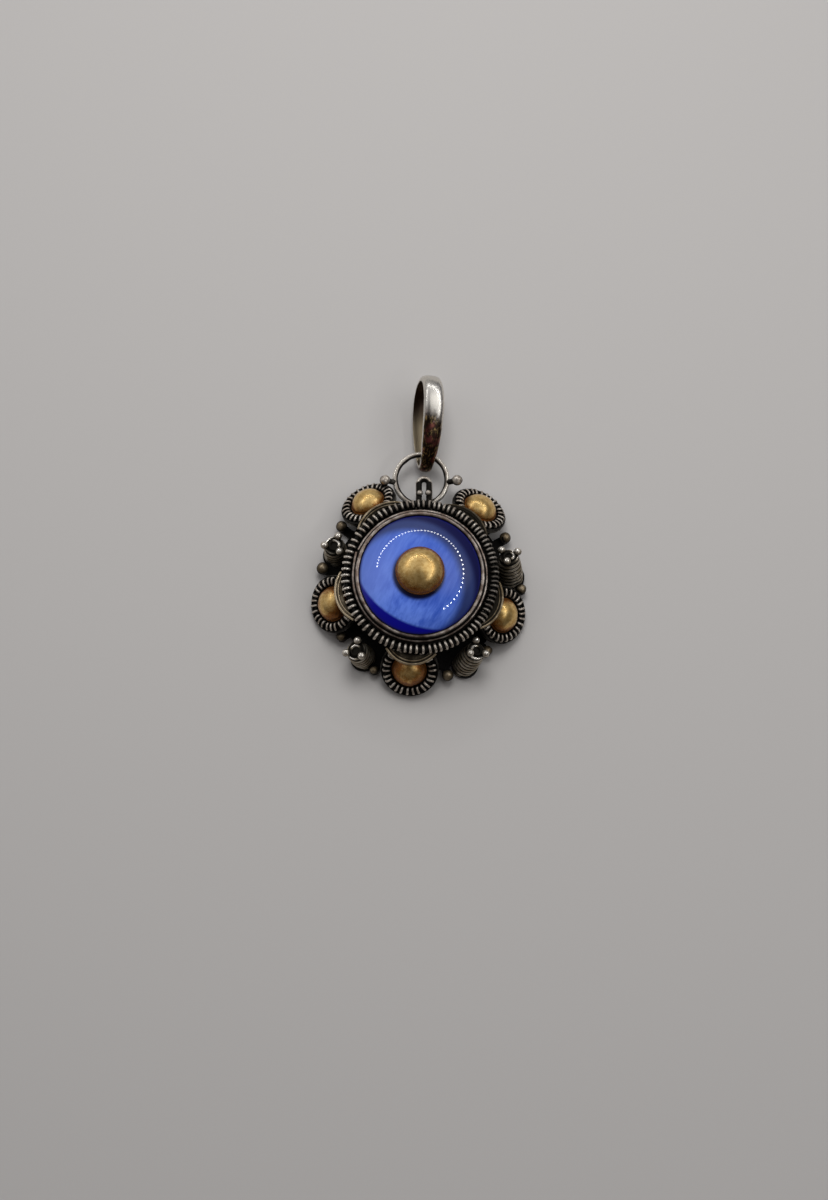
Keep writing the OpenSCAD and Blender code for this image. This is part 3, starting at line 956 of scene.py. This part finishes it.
# A row: foot X and Y, lean, heading, turn of the beads, where the rim and where the crown carry a
# painted glint
TURRETS = [
    (-8.9, 3.35, 10, 110, 65, 150, 40),
    (9.7, 0.95, 31, 100, 20, 30, 0),
    (-5.95, -7.75, 16, 165, 75, 215, 100),
    (4.75, -8.5, 28, 40, 95, 275, 130),
]
BEAD_R = 0.41
BEAD_PLACE = 1.02
BEAD_SUNK = 0.1
CROWN_R = 0.52
CROWN_WIRE_R = 0.16
CAP_T = 0.16
PER_TURN = 40
print("the turrets lean by", [row[2] for row in TURRETS], "degrees")


# %% Barrel of wound wire
def barrel(lift, top):
    """A close helix of wire down from the top; its lowest turns end below the plate's face."""
    turns = math.ceil((top + BELOW_PLATE) / TURRET_PITCH)
    first_z = top - TURRET_WIRE_R - turns * TURRET_PITCH
    coil = blank()
    bmesh.ops.create_circle(coil, segments=12, radius=TURRET_WIRE_R, cap_ends=True,
                            matrix=moved(TURRET_R - TURRET_WIRE_R, 0, first_z) @ turned("X", 90))
    spun(coil, PER_TURN, turns, TURRET_PITCH)
    inner_r = TURRET_R - 2 * TURRET_WIRE_R
    set_shine(coil, lambda co: min(1.1, (from_axis(co) - inner_r) / (0.9 * TURRET_WIRE_R) - 1.1))
    for vert in coil.verts:
        height = (vert.co.z - lift) / (TURRET_PITCH * TURRET_TURNS)
        narrower = 1 - TURRET_TAPER * max(height, 0) ** 2 / TURRET_R
        vert.co = (vert.co.x * narrower, vert.co.y * narrower, vert.co.z)
    return coil


def painted_glint_rule(low, high, degrees):
    """A shine rule for a painted glint: high on the side that looks that way, low on the far side."""
    toward_x, toward_y = math.cos(math.radians(degrees)), math.sin(math.radians(degrees))

    def rule(co):
        facing = (co.x * toward_x + co.y * toward_y) / max(from_axis(co), 0.01)
        return low + (high - low) * max(0.0, facing) ** 2

    return rule


# %% A turret
def lid_of(top, glint_at):
    """A dished lid with a rolled edge, with a painted glint at one side."""
    lid_r = TURRET_R - TURRET_TAPER - LID_GAP
    roll_z = top + CAP_T
    dish_z = roll_z - LID_DISH
    lid = lathe([(0, top - 0.1), (lid_r - 0.08, top - 0.1), (lid_r, top), (lid_r - 0.02, roll_z),
                 (lid_r - 0.12, roll_z + 0.01), (lid_r - LID_ROLL, dish_z), (0, dish_z)], steps=64)
    glint = painted_glint_rule(low=0.55, high=2.0, degrees=glint_at)
    roll_from = lid_r - 0.8 * LID_ROLL
    return set_shine(softened(lid, offset=0.02),
                     lambda co: glint(co) if from_axis(co) > roll_from else DARK_SHINE)


def turret(foot_x, foot_y, lean, heading, bead_turn, rim_glint, crown_glint):
    """All its angles but the lean are in the plane of the whole pendant."""
    lift = TURRET_R * math.sin(math.radians(lean)) + TURRET_LIFT
    top = lift + 2 * TURRET_WIRE_R + TURRET_PITCH * (TURRET_TURNS - 1)
    core = lathe([(0, -TURRET_SUNK), (TURRET_R - 0.3, -TURRET_SUNK), (TURRET_R - 0.3, lift + 0.1),
                  (TURRET_R - TURRET_TAPER - 0.33, top), (0, top)], steps=48)
    crown = placed(wire_ring(CROWN_R, CROWN_WIRE_R, steps=48, sides=14),
                   moved(0, 0, top + CAP_T + FIT_GAP))
    # The crown's glint is painted into its shine
    crown_rule = painted_glint_rule(low=0.35, high=2.0, degrees=crown_glint - heading)
    parts = [barrel(lift, top), set_shine(core, DARK_SHINE), lid_of(top, rim_glint - heading),
             set_shine(crown, crown_rule)]
    bead_z = top + CAP_T + BEAD_R - BEAD_SUNK
    for bead in range(3):
        spot = turned("Z", bead_turn - heading + 120 * bead)
        grain = placed(ball(BEAD_R, 14), spot @ moved(BEAD_PLACE, 0, bead_z))
        # Each bead is painted lighter on top and darker below: a painted highlight and painted shade
        parts.append(set_shine(grain, lambda co: 0.7 + 0.8 * (co.z - bead_z) / BEAD_R))
    stand = moved(foot_x, foot_y, PLATE_T) @ turned("Z", heading) @ turned("Y", lean)
    return cut_below(placed(gathered(*parts), stand), PLATE_T + PLATE_GAP)


# %% The four turrets
for number, row in enumerate(TURRETS, 1):
    shape = hammered(turret(*row), depth=0.02, size=0.7, seed=number)
    finished(f"wound_turret_{number}", shape, turret_silver, "silver", f"turret_{number}")

# %% [markdown]
# Grains at the edge
#
# Eight larger balls are soldered to the plate's edge. They are silver melted on charcoal, so none
# is quite round, and each is sunk a little in its solder. They cover the plain balls of the plate's
# own solid.

# %% Edge balls
# A row: angle, distance from the middle, radius
BALLS = [
    (142.5, 10.55, 0.58),
    (170.2, 10.5, 0.64),
    (213.8, 10.0, 0.55),
    (242, 10.35, 0.5),
    (286.7, 10.2, 0.6),
    (314.9, 10.05, 0.55),
    (-2.4, 10.8, 0.52),
    (29.5, 10.45, 0.58),
]
BALL_COVER = 0.015
BALL_SUNK = 0.08
balls = []
for index, (angle, away, ball_r) in enumerate(BALLS):
    grain = hammered(ball(ball_r + BALL_COVER), depth=0.035, size=0.5, seed=index)
    # The top of each grain is painted lighter and its sides darker: a painted highlight and painted
    # shade
    set_shine(grain, lambda co: 0.35 + 0.55 * max(0.0, co.z) / ball_r)
    balls.append(placed(grain, turned("Z", angle) @ moved(away, 0, PLATE_T + ball_r - BALL_SUNK)))
finished("edge_grains", gathered(*balls), stained_silver, "dark_silver")
refinished("base_plate", dark_silver)

# %% [markdown]
# Loop and staple
#
# The loop is a ring of thicker wire, worn a little uneven by years of the bail's rubbing, with a
# ball at each side. The staple is an arch of wire that holds the loop down, with two small grains.

# %% Loop
loop_low, loop_high = box_mm("loop")
LOOP_WIRE_R = 0.3
LOOP_R = 2.77
LOOP_Z = 2.0
LOOP_BALL_Y, LOOP_BALL_Z = 11.06, 2.68
LOOP_BALL_R = 0.56
LOOP_OUTER_GAIN = 3.2
loop_x = (loop_low.x + loop_high.x) / 2
loop_y = loop_high.y - LOOP_R - LOOP_WIRE_R
ball_x = (loop_high.x - loop_low.x) / 2 - LOOP_BALL_R
ring = wire_ring(LOOP_R, LOOP_WIRE_R, steps=144, sides=20)
hammered(ring, depth=0.05, size=0.9, seed=3)
set_shine(ring, lambda co: clamped(1.0 + (from_axis(co) - LOOP_R) * LOOP_OUTER_GAIN, 0.1, 1.5))
loop_parts = [placed(ring, moved(loop_x, loop_y, LOOP_Z))]
for side in (-1, 1):
    grain = hammered(ball(LOOP_BALL_R), depth=0.05, size=0.5, seed=side)
    # Each ball is painted lighter on top and darker below: a painted highlight and painted shade
    set_shine(grain, lambda co: 0.3 + 0.8 * co.z / LOOP_BALL_R)
    spot = (loop_x + side * ball_x, LOOP_BALL_Y, LOOP_BALL_Z)
    loop_parts.append(placed(grain, moved(*spot)))
    neck = [spot, (loop_x + side * (LOOP_R + 0.1), LOOP_BALL_Y - 0.05, LOOP_Z + 0.05)]
    loop_parts.append(set_shine(wire_along(neck, LOOP_WIRE_R), 0.5))
finished("wire_loop", gathered(*loop_parts), silver, "silver", "loop")

# %% Staple
staple_low, staple_high = box_mm("staple")
STAPLE_WIRE_R = 0.33
STAPLE_HALF = 0.56
STAPLE_ROOM = 0.07
STAPLE_GRAIN_R = 0.33
STAPLE_GRAIN_PLACE = (STAPLE_HALF * 0.8, 9.6, 0.3)
ARCH_STEPS = 24
ARCH_R = STAPLE_HALF + STAPLE_WIRE_R
staple_z = staple_low.z + STAPLE_WIRE_R
staple_x = (staple_low.x + staple_high.x) / 2
arch_y = staple_high.y - STAPLE_HALF - STAPLE_WIRE_R - STAPLE_ROOM
halfway_y = (staple_low.y + arch_y) / 2
arch = [(-STAPLE_HALF, staple_low.y, 0), (-STAPLE_HALF, halfway_y, 0),
        *arc(STAPLE_HALF, math.pi, 0, ARCH_STEPS, (0, arch_y)),
        (STAPLE_HALF, halfway_y, 0), (STAPLE_HALF, staple_low.y, 0)]
arch_wire = hammered(wire_along(arch, STAPLE_WIRE_R, sides=16), depth=0.02, size=0.6, seed=6)


def arch_painted_highlight(co):
    """Bright along the outer edge, and most at the top of the arch: a painted highlight."""
    out = math.hypot(co.x, max(co.y - arch_y, 0))
    bright = 1.8 if co.y > arch_y + 0.2 else 0.85
    return clamped(bright - (ARCH_R - out) * 3.5, high=1.4)


staple_parts = [set_shine(arch_wire, arch_painted_highlight)]
for side in (-1, 1):
    # Each grain is painted lighter on top and darker below: a painted highlight and painted shade
    grain = set_shine(ball(STAPLE_GRAIN_R, 14), lambda co: 0.35 + 0.8 * co.z / STAPLE_GRAIN_R)
    across, up, out = STAPLE_GRAIN_PLACE
    staple_parts.append(placed(grain, moved(side * across, up, out)))
staple = placed(gathered(*staple_parts), moved(staple_x, 0, staple_z))
finished("staple_arch", staple, silver, "silver", "staple")

# %% [markdown]
# The bail
#
# The bail is one strip of silver bent into an egg, broad at the top and narrow where it hangs on
# the loop. Its outside is domed and polished, and its inside is flat and dull. Each section is a
# circle pressed to that half-round shape, set square to the egg's line, and then all are bridged.

# %% The band's line and width
BAIL_LENGTH = 10.35
BAIL_DEPTH = 5.7
BAIL_WIDTH = 2.25
BAIL_T = 0.7
BAIL_TAPER = 0.3
TAPER_BULGE = 1.04
BAND_GAP = 0.02


def bail_line(turn):
    """A point of the egg's inner line, as (length, depth)."""
    half_length = BAIL_LENGTH / 2 - BAIL_T
    half_depth = (BAIL_DEPTH / 2 - BAIL_T) / TAPER_BULGE
    return Vector((half_length * math.cos(turn),
                   half_depth * math.sin(turn) * (1 + BAIL_TAPER * math.cos(turn))))


def band_width(turn):
    """Widest a little way down from the top, and narrowest at the loop."""
    return BAIL_WIDTH * (0.88 + 0.15 * math.cos(turn) - 0.09 * math.cos(2 * turn)) - BAND_GAP


print("the band is", round(band_width(0), 2), "mm wide at the top")


# %% The band
BAIL_STEPS = 120
BAND_SIDES = 28
BAND_CROWN = 1.76
BAND_INSIDE = 0.24
BAND_MIDDLE = 0.12
BAND_SQUARENESS = 0.55
EDGE_RUB_AND_HIGHLIGHT = 1.3
EDGE_SHARPNESS = 14


def band_shine(turn, across, up):
    """Above 0 outside, where it is least low down and most at both edges; below 0 inside.

    Low shine gives tarnish and a painted dark reflection; the bright edges are rubbing and a
    painted highlight.
    """
    if up > -0.1:
        # The near end is dark from tarnish and a painted reflection; the edges stay bright from
        # rubbing and a painted highlight
        how_bright = clamped(0.30 + math.cos(turn) + 0.4 * across, low=0.05)
        return how_bright + EDGE_RUB_AND_HIGHLIGHT * abs(2 * across) ** EDGE_SHARPNESS
    return -0.5 - 0.5 * clamped(0.3 + 1.4 * math.cos(turn))


def bail_shape():
    shape = blank()
    shine = shape.verts.layers.float[SHINE]
    loops = []
    for step in range(BAIL_STEPS):
        turn = FULL_TURN * step / BAIL_STEPS
        here = bail_line(turn)
        ahead = (bail_line(turn + 0.01) - here).normalized()
        out = Vector((ahead.y, -ahead.x))
        made = bmesh.ops.create_circle(shape, segments=BAND_SIDES, radius=0.5)["verts"]
        for vert in made:
            across, up = vert.co.x, vert.co.y
            rise = up * (BAND_CROWN if up > 0 else BAND_INSIDE)
            spot = here + out * (BAND_MIDDLE + rise) * BAIL_T
            wide = math.copysign(abs(2 * across) ** BAND_SQUARENESS / 2, across)
            vert.co = (wide * band_width(turn), spot.x, spot.y)
            vert[shine] = band_shine(turn, across, up)
        loops.append([e for e in shape.edges if e.verts[0] in made and e.verts[1] in made])
    for first, second in zip(loops, loops[1:] + loops[:1]):
        bmesh.ops.bridge_loops(shape, edges=first + second)
    bmesh.ops.recalc_face_normals(shape, faces=shape.faces)
    return shape


# %% The bail on its loop
BAIL_LEAN = 15
BAIL_PITCH = 13
BAIL_HANG = 1.85
BAIL_SLIDE = 0.16
pivot = Vector(frame["joints"][0]["pos_m"]) / MM
place = (Matrix.Translation(pivot) @ moved(BAIL_SLIDE, 0, 0) @ turned("Y", BAIL_LEAN)
         @ turned("X", BAIL_PITCH) @ moved(0, BAIL_LENGTH / 2 - BAIL_HANG, 0))
band = placed(hammered(bail_shape(), depth=0.03, size=1.5, seed=9), place)
for vert in band.verts:
    vert.co.z = max(vert.co.z, 0.0)
finished("bright_bail", band, bail_silver, "bail_silver", "bail", body="bail")

# %% [markdown]
# Floor, light and camera
#
# The floor is plain and pale. The light is a soft dome with an arc of small lamps above the stone,
# as on a ring light: it gives the row of points on the glass and the soft rings on the brass. Each
# lamp stands where a ray from the camera goes after it has met its point on the glass. The near
# side of the dome is dark, which gives the metal its contrast.

# %% Floor
FLOOR_HALF = 0.6
FLOOR_DROP = 0.01 * MM
ground = bmesh.new()
bmesh.ops.create_grid(ground, x_segments=1, y_segments=1, size=FLOOR_HALF,
                      matrix=moved(0, 0, -FLOOR_DROP))
floor = in_scene("floor", as_mesh("floor", ground))
paper = Finish("paper", base_color=(0.50, 0.483, 0.468, 1), roughness=0.9)
floor.data.materials.append(paper.material)
floor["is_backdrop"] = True
print("floor is", round(floor.dimensions.x, 2), "m wide")

# %% Camera
VIEW_TILT = 12
VIEW_DISTANCE = 305 * MM
FIELD_DEPTH = 5 * MM
FIELD_HIGH = 126 * MM
VIEW_CENTRE = (-0.63 * MM, -1.386 * MM)
SENSOR_HIGH = 24
tilt = math.radians(VIEW_TILT)
toward = Vector((0, -math.sin(tilt), math.cos(tilt)))
upward = Vector((0, math.cos(tilt), math.sin(tilt)))
camera_data = bpy.data.cameras.new("camera")
camera_data.sensor_fit = "VERTICAL"
camera_data.sensor_height = SENSOR_HIGH
camera_data.lens = SENSOR_HIGH * (VIEW_DISTANCE - FIELD_DEPTH) / FIELD_HIGH
camera_data.clip_start = 0.005
camera = in_scene("camera", camera_data)
camera.location = (Vector((VIEW_CENTRE[0], 0, 0)) + upward * VIEW_CENTRE[1]
                   + toward * VIEW_DISTANCE)
camera.rotation_euler = (tilt, 0, 0)
bpy.context.scene.camera = camera
print("camera is", round(camera.location.z / MM), "mm up")

# %% Lamps
LAMP_SIZE = 9 * MM
LAMP_AWAY = 296 * MM
LAMP_POWER = 0.0065
DOT_RING_R = 4.55
# A row: first angle, step, number of lamps, share of the power
LAMP_ROWS = [(-57, 6.2, 15, 1.0), (35, 4.4, 21, 0.52), (127.4, 4.4, 11, 0.62)]


def add_lamp(name, power, spot, aim, size, glossy=True):
    data = bpy.data.lights.new(name, "AREA")
    data.energy = power
    data.shape = "DISK"
    data.size = size
    lamp = in_scene(name, data)
    lamp.location = spot
    lamp.rotation_euler = (Vector(spot) - Vector(aim)).to_track_quat("Z", "Y").to_euler()
    lamp.visible_camera = False
    lamp.visible_glossy = glossy


face_ball_z = stone_high.z - face_ball_r
dot_lean = math.asin(DOT_RING_R / face_ball_r)
dots = [(first + step * index, share) for first, step, count, share in LAMP_ROWS
        for index in range(count)]
for index, (degrees, share) in enumerate(dots):
    heading = math.radians(degrees)
    flat = Vector((math.cos(heading), math.sin(heading), 0))
    normal = flat * math.sin(dot_lean) + Vector((0, 0, math.cos(dot_lean)))
    dot = (normal * face_ball_r + Vector((0, 0, face_ball_z))) * MM
    ray = (dot - camera.location).normalized()
    spot = dot + ray.reflect(normal) * LAMP_AWAY
    add_lamp(f"lamp_{index}", LAMP_POWER * share, spot, dot, LAMP_SIZE)
add_lamp("sky", power=0.25, spot=(0, 0.12, 0.20), aim=(0, 0, 0), size=0.12, glossy=False)
print(len(dots), "lamps stand in an arc")

# %% The studio's dome
world = bpy.data.worlds.new("studio")
bpy.context.scene.world = world
world.use_nodes = True
studio = Nodes(world.node_tree)
background = world.node_tree.nodes["Background"]
direction = studio.add("ShaderNodeTexCoord", output="Generated")


def facing(x, y, z):
    """1 towards a direction, 0 square to it and -1 away from it."""
    return studio.add("ShaderNodeVectorMath", {"operation": "DOT_PRODUCT"},
                      {0: direction, 1: Vector((x, y, z)).normalized()}, output="Value")


def shaded(value, *stops):
    """A tone for each stop of a value from 0 to 1; a tone is a grey or (red, green, blue)."""
    full = [(at, tone if isinstance(tone, tuple) else (tone,) * 3) for at, tone in stops]
    return studio.add("ShaderNodeValToRGB", {"stops": full}, {"Fac": value}, output="Color")


# By height, from near to far, from left to right, and darker straight over the stone
height = shaded(facing(0, 0, 1), (0.0, 0.24), (0.22, (0.38, 0.38, 0.39)),
                (0.48, (0.66, 0.66, 0.68)), (0.80, (0.62, 0.62, 0.64)), (1.0, (0.52, 0.52, 0.54)))
forward = shaded(facing(0, 1, 0) * 0.5 + 0.5, (0.0, (0.11, 0.085, 0.07)),
                 (0.34, (0.20, 0.175, 0.16)), (0.50, (0.72, 0.71, 0.70)), (0.62, 1.0))
across = shaded(facing(1, 0, 0) * 0.5 + 0.5, (0.0, 1.0), (0.5, 0.85),
                (0.72, (0.42, 0.42, 0.44)), (1.0, (0.22, 0.22, 0.24)))
overhead = shaded(facing(*toward), (0.90, 1.0), (0.965, 0.42))
# A bright patch at the upper right
patch = shaded(facing(0.49, 0.23, 0.84), (0.88, 0.0), (0.99, (0.9, 0.9, 0.88)))
light = height
for tones in (forward, across, overhead):
    light = studio.mix(1.0, light, tones, "MULTIPLY")
studio.join(studio.mix(1.0, light, patch, "ADD"), background.inputs["Color"])
bpy.context.scene.view_settings.view_transform = "Standard"
print("the dome has", len(world.node_tree.nodes), "nodes")

# %% Sizes, and the end
boxes = {"cad": cad_box, "visual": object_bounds()}
plain = {name: [[float(x) for x in corner] for corner in box] for name, box in boxes.items()}
print(plain)
